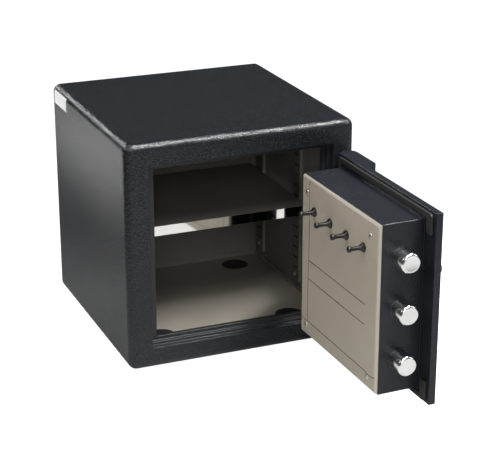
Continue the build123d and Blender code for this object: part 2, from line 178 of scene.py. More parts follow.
class ShaderGroup(NodeBench):
    """Builds one shared shader node group."""

    def __init__(self, name: str, outputs: tuple, **inputs: float | tuple) -> None:
        """Start a group that takes a place.

        Args:
            name: The group's name.
            outputs: Names of its outputs, which are values.
            **inputs: Default of each further input, with _ for a space in its name.
        """
        self.tree = bpy.data.node_groups.new(name, "ShaderNodeTree")
        self.inlet = self.node("NodeGroupInput")
        self.outlet = self.node("NodeGroupOutput")
        new_socket = self.tree.interface.new_socket
        for key, default in {"Vector": (0.0, 0.0, 0.0), **inputs}.items():
            kind = "NodeSocketVector" if isinstance(default, tuple) else "NodeSocketFloat"
            made = new_socket(name=key.replace("_", " "), in_out="INPUT", socket_type=kind)
            made.default_value = default
        for key in outputs:
            new_socket(name=key, in_out="OUTPUT", socket_type="NodeSocketFloat")

    def scaled(self, value: Socket, factor: float, plus: Socket | None = None) -> Socket:
        """Multiply a value by a factor.

        Args:
            value: The value.
            factor: The factor.
            plus: A value that is added to the product, if there is one.

        Returns:
            The result's socket.
        """
        kind, feeds = ("MULTIPLY", {0: value}) if plus is None else ("MULTIPLY_ADD", {0: value, 2: plus})
        made = self.add("ShaderNodeMath", feeds, operation=kind)
        made.inputs[1].default_value = factor
        return made.outputs["Value"]

    def product(self, one: Socket, other: Socket) -> Socket:
        """Multiply two values and return the result's socket."""
        return self.add("ShaderNodeMath", {0: one, 1: other}, operation="MULTIPLY").outputs["Value"]

    def contrast(self, value: Socket, low: float, high: float) -> Socket:
        """Spread the part of a value between two bounds over 0 to 1 and return its socket."""
        made = self.add("ShaderNodeMapRange", {"Value": value}, From_Min=low, From_Max=high)
        return made.outputs["Result"]

    def texture(self, kind: str, vector: Socket, scale: Socket, **values: object) -> Node:
        """Add a texture that is fed with a place and a scale.

        Args:
            kind: The texture node's type.
            vector: The place's socket.
            scale: The scale's socket.
            **values: The texture's other settings.

        Returns:
            The texture's node.
        """
        return self.add(kind, {"Vector": vector, "Scale": scale}, **values)


# The powder coat's grain: how far its cells are bent, in metres, the scale of each of its layers
# against the cells', and how high the fine and the broad layer stand.
WARP_REACH = 0.0016
FINE_SCALE, FINE_HEIGHT = 2.3, 0.45
BROAD_SCALE, BROAD_HEIGHT = 0.45, 0.8
# How much finer the speck cells are than the grain's cells; the powder coats paint these specks pale as
# painted glints.
SPECK_CELL_SCALE = 3.1


@cache
def pebble_group() -> Tree:
    """A powder coat's orange-peel grain: its height, and a mask of specks, which the powder coats paint pale
    as painted glints and the cast filling paints as dark flecks.

    Returns:
        The node group.
    """
    g = ShaderGroup("pebble_grain", ("Height", "Specks"), Grain_Scale=400.0, Speck_Amount=0.3)
    vector, scale = g.inlet.outputs["Vector"], g.inlet.outputs["Grain Scale"]

    warp = g.texture("ShaderNodeTexNoise", vector, scale, Detail=2.0)
    reach = {0: warp.outputs["Color"]}
    stretch = g.add("ShaderNodeVectorMath", reach, operation="SCALE", Scale=WARP_REACH)
    moved = g.add("ShaderNodeVectorMath", {0: vector, 1: stretch.outputs["Vector"]}, operation="ADD")

    cells = g.texture(
        "ShaderNodeTexVoronoi", moved.outputs["Vector"], scale, feature="SMOOTH_F1", Smoothness=0.9
    )
    fine = g.texture(
        "ShaderNodeTexNoise", vector, g.scaled(scale, FINE_SCALE), Detail=3.0, Roughness=0.6
    )
    broad = g.texture("ShaderNodeTexNoise", vector, g.scaled(scale, BROAD_SCALE), Detail=1.0)
    pebbles = g.scaled(fine.outputs["Fac"], FINE_HEIGHT, plus=cells.outputs["Distance"])
    height = g.scaled(broad.outputs["Fac"], BROAD_HEIGHT, plus=pebbles)
    g.link(height, g.outlet.inputs["Height"])

    speck_cells = g.texture("ShaderNodeTexVoronoi", vector, g.scaled(scale, SPECK_CELL_SCALE), feature="F1")
    shade = g.add("ShaderNodeSeparateColor", {"Color": speck_cells.outputs["Color"]})
    dots = g.contrast(speck_cells.outputs["Distance"], 0.36, 0.24)
    few = g.product(dots, g.contrast(shade.outputs["Red"], 0.72, 0.95))
    g.link(g.product(few, g.inlet.outputs["Speck Amount"]), g.outlet.inputs["Specks"])
    return g.tree


@cache
def smudge_group() -> Tree:
    """A handled surface's slow unevenness, as a mask round one half.

    Returns:
        The node group.
    """
    g = ShaderGroup("handling_smudge", ("Mask",), Spread=14.0)
    vector, spread = g.inlet.outputs["Vector"], g.inlet.outputs["Spread"]
    broad = g.texture("ShaderNodeTexNoise", vector, spread, Detail=5.0, Roughness=0.62)
    g.link(g.contrast(broad.outputs["Fac"], 0.3, 0.7), g.outlet.inputs["Mask"])
    return g.tree


@cache
def scratch_group() -> Tree:
    """Fine drawn lines of machined or rubbed metal, as a mask.

    Returns:
        The node group.
    """
    g = ShaderGroup("drawn_lines", ("Lines",), Stretch=(60.0, 900.0, 900.0))
    places = {0: g.inlet.outputs["Vector"], 1: g.inlet.outputs["Stretch"]}
    drawn = {"Vector": g.add("ShaderNodeVectorMath", places, operation="MULTIPLY").outputs["Vector"]}
    noise = g.add("ShaderNodeTexNoise", drawn, Scale=1.0, Detail=4.0, Roughness=0.7)
    g.link(noise.outputs["Fac"], g.outlet.inputs["Lines"])
    return g.tree


class MaterialBench(NodeBench):
    """Node-by-node maker of one material."""

    def __init__(self, name: str) -> None:
        """Start a material that holds one Principled BSDF.

        Args:
            name: Its name.
        """
        self.material = bpy.data.materials.new(name)
        self.material.use_nodes = True
        self.tree = self.material.node_tree
        self.bsdf = self.tree.nodes["Principled BSDF"]
        self.place = self.node("ShaderNodeTexCoord").outputs["Object"]

    def group(self, tree: Tree, **values: object) -> Node:
        """Place a shared group, fed with Object coordinates.

        Args:
            tree: The group.
            **values: Values of its inputs.

        Returns:
            The group's node.
        """
        return self.add("ShaderNodeGroup", {"Vector": self.place}, node_tree=tree, **values)

    def set(self, **values: object) -> None:
        """Set values on the shader's own sockets, with _ for a space in a name."""
        for key, value in values.items():
            self.bsdf.inputs[key.replace("_", " ")].default_value = value

    def blend_colour(self, mask: Socket, low: tuple, high: tuple) -> Socket:
        """Mix two colours by a mask.

        Args:
            mask: The mask.
            low: Colour where it is 0.
            high: Colour where it is 1.

        Returns:
            The mixed colour's socket.
        """
        mix = self.add("ShaderNodeMix", {"Factor": mask}, data_type="RGBA")
        mix.inputs["A"].default_value = (*low, 1.0)
        mix.inputs["B"].default_value = (*high, 1.0)
        return mix.outputs["Result"]

    def range(self, value: Socket, low: float, high: float) -> Socket:
        """Spread a 0 to 1 value over a range and return the result's socket."""
        made = self.add("ShaderNodeMapRange", {"Value": value}, To_Min=low, To_Max=high)
        return made.outputs["Result"]

    def smudge(self, spread: float) -> Socket:
        """The mask of a slow unevenness with a given number of patches to the metre."""
        return self.group(smudge_group(), Spread=spread).outputs["Mask"]

    def grain(self, scale: float, speck_amount: float = 0.0) -> tuple[Socket, Socket]:
        """Powder-coat grain.

        Args:
            scale: Its cells to the metre.
            speck_amount: How strong its specks are.

        Returns:
            The sockets of its height and its specks.
        """
        made = self.group(pebble_group(), Grain_Scale=scale, Speck_Amount=speck_amount)
        return made.outputs["Height"], made.outputs["Specks"]

    def finished(self, colour: Socket, rough: Socket, height: Socket, depth: float) -> Material:
        """Feed the shader.

        Args:
            colour: Base colour.
            rough: Roughness.
            height: Height of the bump, from 0 to 1.
            depth: What a height of 1 stands for, in metres.

        Returns:
            The material.
        """
        bump = self.add("ShaderNodeBump", {"Height": height}, Strength=1.0, Distance=depth)
        self.link(bump.outputs["Normal"], self.bsdf.inputs["Normal"])
        self.link(colour, self.bsdf.inputs["Base Color"])
        self.link(rough, self.bsdf.inputs["Roughness"])
        return self.material


@dataclass(frozen=True)
class PowderCoat:
    """Textured powder coat, with pale specks in its colour that stand for glints: painted glints."""

    name: str
    colour: tuple
    painted_glint_colour: tuple
    grain: float
    depth: float
    rough: float
    speck_amount: float = 0.35
    gloss: float = 0.5
    rough_spread: tuple = (-0.04, 0.05)
    smudge_spread: float = 9.0

    def make(self) -> Material:
        """Build the coat's material.

        Returns:
            The material.
        """
        b = MaterialBench(self.name)
        height, specks = b.grain(1.0 / self.grain, self.speck_amount)
        # Pale specks blended into the colour: painted glints.
        colour = b.blend_colour(specks, self.colour, self.painted_glint_colour)
        rough = b.range(b.smudge(self.smudge_spread), *(self.rough + d for d in self.rough_spread))
        b.set(Specular_IOR_Level=self.gloss)
        return b.finished(colour, rough, height, self.depth)


@dataclass(frozen=True)
class SatinPaint:
    """Smooth satin paint with a slight cloudiness and a fine spray grain."""

    name: str
    colour: tuple
    cloud: tuple
    rough: float
    grain: float = 0.0009
    depth: float = 0.00003
    rough_spread: tuple = (-0.05, 0.06)
    smudge_spread: float = 11.0

    def make(self) -> Material:
        """Build the paint's material.

        Returns:
            The material.
        """
        b = MaterialBench(self.name)
        height = b.grain(1.0 / self.grain)[0]
        colour = b.blend_colour(b.smudge(self.smudge_spread), self.colour, self.cloud)
        rough = b.range(height, *(self.rough + d for d in self.rough_spread))
        return b.finished(colour, rough, height, self.depth)


@dataclass(frozen=True)
class BareMetal:
    """Plated, polished or drawn metal."""

    name: str
    colour: tuple
    rough: tuple
    stretch: tuple = (700.0, 700.0, 60.0)
    depth: float = 0.000002
    dulled: float = 0.86
    smudge_spread: float = 30.0

    def make(self) -> Material:
        """Build the metal's material.

        Returns:
            The material.
        """
        b = MaterialBench(self.name)
        lines = b.group(scratch_group(), Stretch=self.stretch).outputs["Lines"]
        shade = tuple(self.dulled * c for c in self.colour)
        colour = b.blend_colour(b.smudge(self.smudge_spread), self.colour, shade)
        b.set(Metallic=1.0)
        return b.finished(colour, b.range(lines, *self.rough), lines, self.depth)


@dataclass(frozen=True)
class Moulded:
    """Moulded plastic or rubber."""

    name: str
    colour: tuple
    rough: float
    depth: float = 0.00002
    grain_scale: float = 1600.0
    lightened: float = 1.5
    rough_spread: tuple = (-0.05, 0.08)
    smudge_spread: float = 60.0

    def make(self) -> Material:
        """Build the plastic's material.

        Returns:
            The material.
        """
        b = MaterialBench(self.name)
        smudge = b.smudge(self.smudge_spread)
        colour = b.blend_colour(smudge, self.colour, tuple(self.lightened * c for c in self.colour))
        rough = b.range(smudge, *(self.rough + d for d in self.rough_spread))
        return b.finished(colour, rough, b.grain(self.grain_scale)[0], self.depth)


@dataclass(frozen=True)
class CastFill:
    """Cast barrier filling, coarse and matt."""

    name: str
    colour: tuple
    darkened: float = 0.6
    rough: tuple = (0.8, 0.98)
    grain_scale: float = 260.0
    speck_amount: float = 0.8
    depth: float = 0.0006

    def make(self) -> Material:
        """Build the filling's material.

        Returns:
            The material.
        """
        b = MaterialBench(self.name)
        height, specks = b.grain(self.grain_scale, self.speck_amount)
        colour = b.blend_colour(specks, self.colour, tuple(self.darkened * c for c in self.colour))
        return b.finished(colour, b.range(height, *self.rough), height, self.depth)


FINISHES = {
    Slot.BODY: PowderCoat(
        "body_coat", (0.008, 0.0095, 0.0115), (0.24, 0.25, 0.26), 0.0027, 0.00068, 0.17, 0.42, 0.36
    ),
    Slot.DOOR: PowderCoat(
        "door_coat", (0.0125, 0.0148, 0.018), (0.12, 0.13, 0.14), 0.0019, 0.00024, 0.25, 0.3, 0.25
    ),
    Slot.FRAME: PowderCoat(
        "frame_coat", (0.010, 0.011, 0.012), (0.08, 0.085, 0.09), 0.0020, 0.0003, 0.34, 0.3
    ),
    Slot.LINER: SatinPaint("liner_satin", (0.16, 0.157, 0.144), (0.18, 0.176, 0.160), 0.46),
    Slot.UPRIGHT: SatinPaint("upright_satin", (0.125, 0.121, 0.109), (0.14, 0.135, 0.121), 0.40),
    Slot.SHELF: SatinPaint("shelf_satin", (0.15, 0.141, 0.128), (0.168, 0.158, 0.143), 0.5),
    Slot.PANEL: SatinPaint(
        "panel_satin", (0.39, 0.345, 0.274), (0.417, 0.37, 0.295), 0.42, 0.0016, 0.00010
    ),
    Slot.POLISHED: BareMetal("polished_strip", (0.86, 0.84, 0.81), (0.03, 0.08), (40.0, 900.0, 900.0)),
    Slot.CHROME: BareMetal("bright_chrome", (0.80, 0.80, 0.79), (0.13, 0.20), depth=0.000001),
    Slot.ZINC: BareMetal("zinc_plate", (0.74, 0.72, 0.66), (0.28, 0.46)),
    Slot.TOOL: BareMetal("ground_steel", (0.38, 0.38, 0.39), (0.3, 0.5)),
    Slot.BRASS: BareMetal("turned_brass", (0.66, 0.50, 0.24), (0.2, 0.38)),
    Slot.PLASTIC: Moulded("black_moulding", (0.006, 0.006, 0.0065), 0.38),
    Slot.SEAL: Moulded("seal_strip", (0.013, 0.012, 0.011), 0.6),
    Slot.BARRIER: CastFill("cast_filling", (0.42, 0.41, 0.39)),
    Slot.LABEL: SatinPaint("label_paper", (0.80, 0.80, 0.79), (0.84, 0.84, 0.83), 0.6),
    Extra.TRAY: SatinPaint("tray_satin", (0.215, 0.194, 0.162), (0.24, 0.217, 0.182), 0.46),
    Extra.MATT_BLACK: Moulded("matt_black_moulding", (0.005, 0.005, 0.0052), 0.55),
    Extra.SEAM: Moulded("seam_line", (0.07, 0.030, 0.012), 0.6),
}


@cache
def finish_for(slot: Slot | Extra) -> Material:
    """The material of a slot or an extra finish, made on first use."""
    return FINISHES[slot].make()


# Mesh tools


def new_object(name: str, data: bpy.types.ID) -> Object:
    """Put some data in the scene as an object.

    Args:
        name: The object's name.
        data: What it shows.

    Returns:
        The object.
    """
    made = bpy.data.objects.new(name, data)
    bpy.context.scene.collection.objects.link(made)
    return made


def point(obj: Object, place: Vector, ahead: Vector) -> None:
    """Put a camera or a light at a place.

    Args:
        obj: The camera or the light.
        place: Where it goes.
        ahead: The direction it looks in.
    """
    obj.location = place
    obj.rotation_mode = "QUATERNION"
    obj.rotation_quaternion = ahead.to_track_quat("-Z", "Y")


class MeshShop:
    """Mesh steps that every sub-assembly uses."""

    SMOOTH_ANGLE = math.radians(32.0)
    BEVEL_ANGLE = math.radians(35.0)
    FLAT_ANGLE = math.radians(0.4)
    MERGE_REACH = 3e-6
    NORMAL_WEIGHT = 60

    @staticmethod
    def evaluated(obj: Object, name: str) -> Mesh:
        """Freeze an object's modifiers into a new mesh.

        Args:
            obj: The working object, which is removed.
            name: The new mesh's name.

        Returns:
            The new mesh.
        """
        bpy.context.view_layer.update()
        graph = bpy.context.evaluated_depsgraph_get()
        mesh = bpy.data.meshes.new_from_object(obj.evaluated_get(graph), depsgraph=graph)
        mesh.name = name
        bpy.data.objects.remove(obj)
        return mesh

    @staticmethod
    def from_bmesh(name: str, bm: bmesh.types.BMesh) -> Mesh:
        """Turn a bmesh into a mesh and free it.

        Args:
            name: The mesh's name.
            bm: The bmesh.

        Returns:
            The mesh.
        """
        mesh = bpy.data.meshes.new(name)
        bm.to_mesh(mesh)
        bm.free()
        return mesh

    @staticmethod
    def smooth(mesh: Mesh) -> None:
        """Shade a mesh smooth, with its sharp edges kept crisp.

        Args:
            mesh: The mesh.
        """
        for face in mesh.polygons:
            face.use_smooth = True
        mesh.set_sharp_from_angle(angle=MeshShop.SMOOTH_ANGLE)

    @classmethod
    def eased(cls, mesh: Mesh, name: str, width: float, segments: int = 2) -> Mesh:
        """Round the sharp edges of a mesh a little.

        Args:
            mesh: The mesh.
            name: The new mesh's name.
            width: How far each edge is taken back.
            segments: Steps of the rounding.

        Returns:
            The rounded mesh, with even shading.
        """
        obj = new_object(name, mesh)
        bevel = obj.modifiers.new("ease", "BEVEL")
        bevel.width, bevel.segments = width, segments
        bevel.limit_method, bevel.angle_limit = "ANGLE", cls.BEVEL_ANGLE
        bevel.use_clamp_overlap, bevel.miter_outer = True, "MITER_ARC"
        for face in mesh.polygons:
            face.use_smooth = True
        even = obj.modifiers.new("even", "WEIGHTED_NORMAL")
        even.keep_sharp, even.weight = True, cls.NORMAL_WEIGHT
        return cls.evaluated(obj, name)

    @classmethod
    def copy_of(cls, node: str, name: str, joined: bool = True) -> Mesh:
        """A merged copy of a model node's mesh.

        Args:
            node: The model node.
            name: The new mesh's name.
            joined: Whether its flat faces are joined up.

        Returns:
            The copy.
        """
        bm = bmesh.new()
        bm.from_mesh(frame["nodes"][node].data)
        bmesh.ops.remove_doubles(bm, verts=bm.verts, dist=cls.MERGE_REACH)
        if joined:
            bmesh.ops.dissolve_limit(bm, angle_limit=cls.FLAT_ANGLE, verts=bm.verts, edges=bm.edges)
        bmesh.ops.recalc_face_normals(bm, faces=bm.faces)
        return cls.from_bmesh(name, bm)

    @staticmethod
    def box(low: Vector, high: Vector, radius: float = 0.0, segments: int = 8) -> bmesh.types.BMesh:
        """A box between two corners, with every edge rounded where it has a radius.

        Args:
            low: Lowest corner.
            high: Highest corner.
            radius: Radius of its edges.
            segments: Steps of the rounding.

        Returns:
            The box.
        """
        bm = bmesh.new()
        size = high - low
        spread = Matrix.Translation((low + high) / 2) @ Matrix.Diagonal((*size, 1.0))
        bmesh.ops.create_cube(bm, size=1.0, matrix=spread)
        if radius > 0:
            rounding = {"offset": radius, "segments": segments, "profile": 0.5, "affect": "EDGES"}
            bmesh.ops.bevel(bm, geom=bm.edges[:] + bm.verts[:], **rounding)
        return bm

    @classmethod
    def carve(cls, mesh: Mesh, cutters: list, name: str) -> Mesh:
        """Cut shapes out of a mesh.

        Args:
            mesh: The mesh to cut.
            cutters: Meshes to take away.
            name: The new mesh's name.

        Returns:
            The cut mesh.
        """
        obj = new_object(name, mesh)
        tools = [new_object(f"{name}_cut", cutter) for cutter in cutters]
        for tool in tools:
            cut = obj.modifiers.new("cut", "BOOLEAN")
            cut.operation, cut.solver, cut.object = "DIFFERENCE", "EXACT", tool
        made = cls.evaluated(obj, name)
        for tool in tools:
            bpy.data.objects.remove(tool)
        return made

    @classmethod
    def turned(cls, profile: Profile, name: str, steps: int) -> Mesh:
        """A turned part about +Z.

        Args:
            profile: The outline that is turned.
            name: The mesh's name.
            steps: Faces round the part.

        Returns:
            The closed mesh.
        """
        bm = bmesh.new()
        rings = []
        for radius, height in profile:
            if radius == 0:
                rings.append([bm.verts.new((0, 0, height * MM))])
                continue
            turns = [2 * math.pi * k / steps for k in range(steps)]
            r, z = radius * MM, height * MM
            rings.append([bm.verts.new((r * math.cos(a), r * math.sin(a), z)) for a in turns])
        for below, above in zip(rings, rings[1:]):
            for k in range(steps):
                corners = [below[k % len(below)], below[(k + 1) % len(below)]]
                corners += [above[(k + 1) % len(above)], above[k % len(above)]]
                unique = list(dict.fromkeys(corners))
                if len(unique) > 2:
                    bm.faces.new(unique)
        bmesh.ops.recalc_face_normals(bm, faces=bm.faces)
        mesh = cls.from_bmesh(name, bm)
        cls.smooth(mesh)
        return mesh


class GeometryBench(NodeBench):
    """Builds one geometry tree."""

    def __init__(self, name: str, **inputs: str) -> None:
        """Start a tree.

        Args:
            name: Its name.
            **inputs: What kind of thing goes into each input after the geometry.
        """
        self.tree = bpy.data.node_groups.new(name, "GeometryNodeTree")
        ways = [("Geometry", "INPUT", "Geometry"), ("Geometry", "OUTPUT", "Geometry")]
        for label, way, kind in [*ways, *((key, "INPUT", kind) for key, kind in inputs.items())]:
            socket = f"NodeSocket{kind}"
            self.tree.interface.new_socket(name=label, in_out=way, socket_type=socket)
        self.inlet = self.node("NodeGroupInput")
        self.outlet = self.node("NodeGroupOutput")

    def send_out(self, shape: Socket) -> Tree:
        """Make a shape real, give it the tree's finish and send it out.

        Args:
            shape: The shape's socket.

        Returns:
            The finished tree.
        """
        real = self.add("GeometryNodeRealizeInstances", {"Geometry": shape})
        feeds = {"Geometry": real.outputs["Geometry"], "Material": self.inlet.outputs["Finish"]}
        dress = self.add("GeometryNodeSetMaterial", feeds)
        self.link(dress.outputs["Geometry"], self.outlet.inputs["Geometry"])
        return self.tree


class NodeTreeShop:
    """Geometry Nodes trees for what repeats or follows a path."""

    BEAD_SIDES = 8

    @staticmethod
    def run(obj: Object, tree: Tree, values: dict, name: str) -> Mesh:
        """Run a tree on a working object.

        Args:
            obj: The object, which is removed.
            tree: The tree.
            values: Input values by name.
            name: The new mesh's name.

        Returns:
            The plain mesh that comes out.
        """
        modifier = obj.modifiers.new("nodes", "NODES")
        modifier.node_group = tree
        for item in tree.interface.items_tree:
            if item.item_type == "SOCKET" and item.in_out == "INPUT" and item.name in values:
                modifier[item.identifier] = values[item.name]
        return MeshShop.evaluated(obj, name)

    @classmethod
    @cache
    def repeat_tree(cls) -> Tree:
        """Sets a part at every point of a mesh.

        Returns:
            The tree.
        """
        b = GeometryBench("repeat_at_places", Part="Object", Finish="Material")
        info = b.add("GeometryNodeObjectInfo", {"Object": b.inlet.outputs["Part"]})
        feeds = {"Points": b.inlet.outputs["Geometry"], "Instance": info.outputs["Geometry"]}
        return b.send_out(b.add("GeometryNodeInstanceOnPoints", feeds).outputs["Instances"])

    @classmethod
    def repeat(cls, part: Mesh, places: list, material: Material, name: str) -> Mesh:
        """Set copies of a part at places.

        Args:
            part: The part's mesh, already turned the right way.
            places: Where each copy goes.
            material: What it is made of.
            name: The new mesh's name.

        Returns:
            One mesh with every copy.
        """
        points = bpy.data.meshes.new(f"{name}_places")
        points.from_pydata(list(map(tuple, places)), [], [])
        host = new_object(f"{name}_host", points)
        pattern = new_object(f"{name}_pattern", part)
        made = cls.run(host, cls.repeat_tree(), {"Part": pattern, "Finish": material}, name)
        bpy.data.objects.remove(pattern)
        return made

    @classmethod
    @cache
    def bead_tree(cls) -> Tree:
        """Runs a round bead along every edge of a mesh.

        Returns:
            The tree.
        """
        b = GeometryBench("bead_on_path", Radius="Float", Finish="Material")
        path = b.add("GeometryNodeMeshToCurve", {"Mesh": b.inlet.outputs["Geometry"]})
        radius = {"Radius": b.inlet.outputs["Radius"]}
        ring = b.add("GeometryNodeCurvePrimitiveCircle", radius, Resolution=cls.BEAD_SIDES)
        feeds = {"Curve": path.outputs["Curve"], "Profile Curve": ring.outputs["Curve"]}
        return b.send_out(b.add("GeometryNodeCurveToMesh", feeds, Fill_Caps=True).outputs["Mesh"])

    @classmethod
    def bead(cls, lines: list, radius: float, material: Material, name: str) -> Mesh:
        """Round beads that follow paths.

        Args:
            lines: One list of points for each path.
            radius: The bead's radius.
            material: What it is made of.
            name: The new mesh's name.

        Returns:
            One mesh with every bead.
        """
        verts: list = []
        edges: list = []
        for line in lines:
            start = len(verts)
            verts += [tuple(p) for p in line]
            edges += [(start + k, start + k + 1) for k in range(len(line) - 1)]
        route = bpy.data.meshes.new(f"{name}_route")
        route.from_pydata(verts, edges, [])
        host = new_object(f"{name}_host", route)
        return cls.run(host, cls.bead_tree(), {"Radius": radius, "Finish": material}, name)


def add_piece(mesh: Mesh, name: str, body: Body, slot: Slot, *nodes: str) -> Object:
    """Make a finished piece of a mesh.

    Args:
        mesh: Its mesh, already in place.
        name: Its name.
        body: The body it rides on.
        slot: The material slot it takes its finish from.
        *nodes: The model nodes it stands for.

    Returns:
        The piece.
    """
    piece = new_object(name, mesh)
    mesh.materials.clear()
    mesh.materials.append(finish_for(slot))
    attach(piece, body.value)
    if nodes:
        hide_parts(*nodes)
    log.info("%s: %d faces", name, len(mesh.polygons))
    return piece


def soften(node: str, body: Body, slot: Slot, width: float = 0.5, segments: int = 2) -> Object:
    """Stand in for a model node with a copy whose edges are eased.

    Args:
        node: The model node.
        body: The body it belongs to.
        slot: Its material slot.
        width: How far the edges are taken back, in millimetres.
        segments: Steps of the rounding.

    Returns:
        The piece.
    """
    name = f"{node}_eased"
    mesh = MeshShop.eased(MeshShop.copy_of(node, name), name, width * MM, segments)
    return add_piece(mesh, name, body, slot, node)


def repaint(mesh: Mesh, finish: Slot | Extra, chosen: Callable[[Face], bool]) -> None:
    """Give some faces of a piece another finish.

    Args:
        mesh: The piece's mesh.
        finish: The finish they get.
        chosen: Says of a face whether it is one of them.
    """
    mesh.materials.append(finish_for(finish))
    for face in mesh.polygons:
        if chosen(face):
            face.material_index = len(mesh.materials) - 1


def dress_node(node: str, slot: Slot) -> None:
    """Give a model node that stays a better material.

    Args:
        node: The node.
        slot: The slot whose finish it gets.
    """
    obj = frame["nodes"][node]
    if not obj.material_slots:
        obj.data.materials.append(finish_for(slot))
    for place in obj.material_slots:
        place.material = finish_for(slot)
    log.info("%s: dressed", node)


@dataclass
class DoorSpace:
    """Places on the door, as it hangs in the rest pose.

    A place is u from the hinge edge, n in from the outer face and z up, in millimetres.
    """

    pivot_u: float = -19.3
    pivot_n: float = -17.5
    hinge: Vector = field(init=False)
    swing: Matrix = field(init=False)
    angle: float = field(init=False)

    def __post_init__(self) -> None:
        """Read the hinge from the record's joint."""
        joint = next(j for j in frame["joints"] if j["name"] == "door_swing")
        self.hinge = Vector((joint["pos_m"][0], joint["pos_m"][1], 0.0))
        self.angle = -math.radians(joint["range_deg"][0])
        turn = Matrix.Rotation(self.angle, 4, "Z")
        self.swing = Matrix.Translation(self.hinge) @ turn @ Matrix.Translation(-self.hinge)

    def shut(self, u: float, n: float, z: float) -> Vector:
        """A place on the door while it is shut.

        Args:
            u: From the hinge edge.
            n: In from the outer face.
            z: Up.

        Returns:
            The place.
        """
        x = self.hinge.x + (self.pivot_u - u) * MM
        y = self.hinge.y + (n - self.pivot_n) * MM
        return Vector((x, y, z * MM))

    def at(self, u: float, n: float, z: float) -> Vector:
        """A place on the door in the rest pose."""
        return self.swing @ self.shut(u, n, z)

    def facing(self, axis: str) -> Matrix:
        """The turn that points +Z of a turned part inwards (about X) or out of the free edge (Y)."""
        return Matrix.Rotation(self.angle, 4, "Z") @ Matrix.Rotation(-math.pi / 2, 4, axis)


# Sub-assemblies


@dataclass
class Cabinet:
    """The casing, the stepped frame, the lining and what is fixed to them."""

    edge_radius: float = 13.0
    edge_steps: int = 12
    hollow_steps: int = 6
    rim_easing: float = 0.7
    wall: float = 3.0
    doorway_sides: tuple = (-149.0, 149.7)
    doorway_levels: tuple = (33.3, 324.3)
    doorway_reach: float = 10.0
    cut_past: float = 1.0
    anchor_radius: float = 7.0
    anchor_steps: int = 32
    anchor_places: tuple = ((-110.5, -117.0), (110.5, -117.0), (-110.5, 117.0), (110.5, 117.0))
    cap_steps: int = 56
    cap_profile: Profile = (
        (0, 0), (22.4, 0), (22.6, 0.3), (22.6, 1.0), (22.2, 1.35), (21.0, 1.5), (12.0, 1.62), (0, 1.65),
    )
    tray_lip: float = 20.3
    label_thickness: float = 0.3
    label_bottom: float = 331.0
    label_wrap: float = 26.0
    label_steps: int = 6

    def casing(self) -> None:
        """The rounded outer casing with its doorway and anchor holes."""
        low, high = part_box("outer_shell")
        wall = Vector((self.wall, self.wall, self.wall)) * MM
        hollow_radius = (self.edge_radius - self.wall) * MM
        outer = MeshShop.box(low, high, self.edge_radius * MM, self.edge_steps)
        inner = MeshShop.box(low + wall, high - wall, hollow_radius, self.hollow_steps)
        near, far = low.y - self.doorway_reach * MM, low.y + (self.wall + self.cut_past) * MM
        ends = zip(self.doorway_sides, (near, far), self.doorway_levels)
        doorway = MeshShop.box(*(Vector((x * MM, y, z * MM)) for x, y, z in ends))
        cutters = [MeshShop.from_bmesh("hollow", inner), MeshShop.from_bmesh("doorway", doorway)]
        radius, foot, head = self.anchor_radius, -self.cut_past, self.wall + self.cut_past
        for x, y in self.anchor_places:
            outline = ((0, foot), (radius, foot), (radius, head), (0, head))
            hole = MeshShop.turned(outline, "anchor", self.anchor_steps)
            hole.transform(Matrix.Translation((x * MM, y * MM, 0)))
            cutters.append(hole)
        shell = MeshShop.carve(MeshShop.from_bmesh("casing", outer), cutters, "casing")
        shell = MeshShop.eased(shell, "casing", self.rim_easing * MM, 3)
        add_piece(shell, "casing", Body.CABINET, Slot.BODY, "outer_shell")

    def label(self) -> None:
        """A blank label that wraps over the top of the left side."""
        low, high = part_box("blank_label")
        face, radius, bottom = high.x, self.edge_radius * MM, self.label_bottom * MM
        rise = [(face, z) for z in (bottom, (bottom + high.z) / 2, high.z)]
        for k in range(1, self.label_steps + 1):
            turn = math.radians(self.label_wrap) * k / self.label_steps
            rise.append((face + radius - radius * math.cos(turn), high.z + radius * math.sin(turn)))
        bm = bmesh.new()
        near, far = ([bm.verts.new((x, y, z)) for x, z in rise] for y in (low.y, high.y))
        for k in range(len(rise) - 1):
            bm.faces.new((near[k], near[k + 1], far[k + 1], far[k]))
        bmesh.ops.recalc_face_normals(bm, faces=bm.faces)
        if sum(f.normal.x for f in bm.faces) > 0:
            bmesh.ops.reverse_faces(bm, faces=bm.faces)
        obj = new_object("label", MeshShop.from_bmesh("label", bm))
        thick = obj.modifiers.new("paper", "SOLIDIFY")
        thick.thickness, thick.offset = self.label_thickness * MM, 1.0
        mesh = MeshShop.evaluated(obj, "label")
        MeshShop.smooth(mesh)
        add_piece(mesh, "label_blank", Body.CABINET, Slot.LABEL, "blank_label")

    def caps(self) -> None:
        """Round push-in caps over the floor anchor holes."""
        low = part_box("anchor_caps")[0]
        cap = MeshShop.turned(self.cap_profile, "cap", self.cap_steps)
        places = [(x * MM, y * MM, low.z) for x, y in self.anchor_places]
        mesh = NodeTreeShop.repeat(cap, places, finish_for(Slot.PLASTIC), "floor_caps")
        add_piece(mesh, "floor_caps", Body.CABINET, Slot.PLASTIC, "anchor_caps")
        mesh.materials[0] = finish_for(Extra.MATT_BLACK)

    def build(self) -> None:
        """Build the whole cabinet."""
        self.casing()
        soften("door_frame", Body.CABINET, Slot.FRAME, 0.9)
        dress_node("inner_liner", Slot.LINER)
        tray = soften("floor_tray", Body.CABINET, Slot.PANEL, 0.5).data
        tray.materials[0] = finish_for(Extra.TRAY)
        repaint(tray, Slot.LINER, lambda face: face.center.z > self.tray_lip * MM)
        dress_node("barrier_fill", Slot.BARRIER)
        self.caps()
        self.label()
        for level in ("upper", "lower"):
            soften(f"hinge_block_{level}", Body.CABINET, Slot.BODY, 0.8, 3)
            dress_node(f"hinge_pin_{level}", Slot.ZINC)
        dress_node("hinge_washers", Slot.BRASS)


